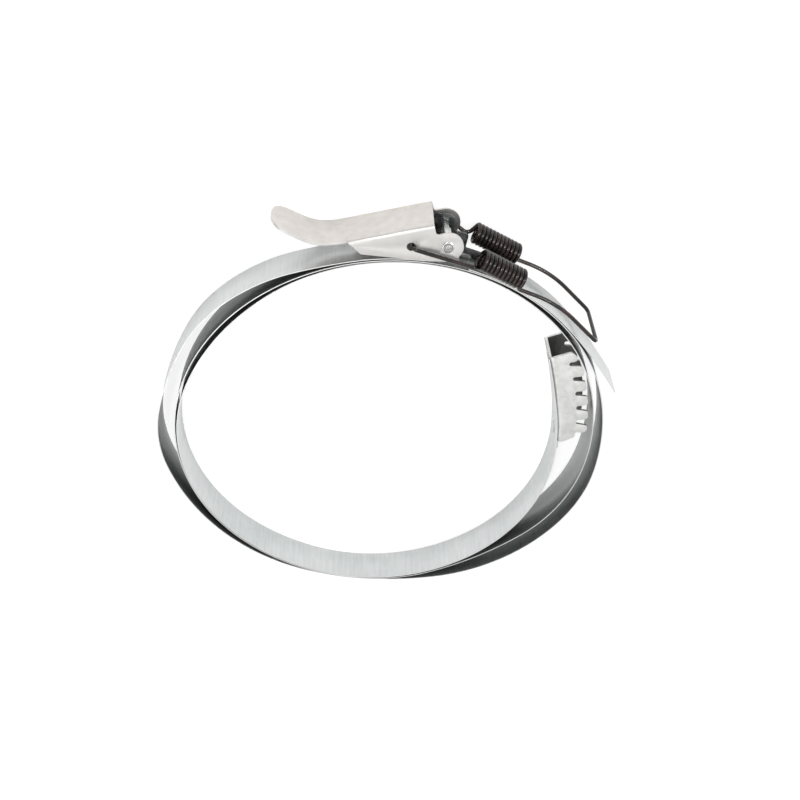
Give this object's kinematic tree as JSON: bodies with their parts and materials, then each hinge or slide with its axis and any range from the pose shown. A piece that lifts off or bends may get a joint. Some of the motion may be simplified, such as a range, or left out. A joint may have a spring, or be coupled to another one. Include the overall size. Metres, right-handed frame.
{
  "type": "dust cup clamp",
  "caption": "Coiled flat steel band clamp with a slotted catch channel and a sprung over-centre lever latch for holding a dust cup on an air cleaner.",
  "frame": {"origin": "middle of the coil, where the clamped joint's axis crosses the band's mid-width plane", "axes": "+Z along the clamped joint's axis and the band's width, latch on -Y, catch on -X"},
  "size_m": [0.2393, 0.2442, 0.0336],
  "materials": {
    "band_zinc": "brushed galvanised",
    "catch_zinc": "satin galvanised",
    "lever_zinc": "satin galvanised",
    "bracket_zinc": "satin galvanised",
    "rivet_zinc": "satin galvanised",
    "spring_wire": "dark tempered"
  },
  "bodies": {
    "band": {"band_strip": "band_zinc", "catch": "catch_zinc", "bracket": "bracket_zinc", "pivot_rivet": "rivet_zinc", "spacer_tube": "rivet_zinc"},
    "lever": {"lever": "lever_zinc"},
    "bail": {"spring_bail": "spring_wire"}
  },
  "joints": [
    {"name": "lever_hinge", "type": "hinge", "parent": "band", "child": "lever", "pos_m": [-0.03401, -0.11592, 0], "axis": [0, 0, -1], "range_deg": [0, 140]},
    {"name": "bail_hinge", "type": "hinge", "parent": "lever", "child": "bail", "pos_m": [-0.01814, -0.11673, 0], "axis": [0, 0, -1], "range_deg": [-140, 0]}
  ],
  "couplings": [
    {"joint": "bail_hinge", "follows": "lever_hinge", "ratio": -1}
  ]
}
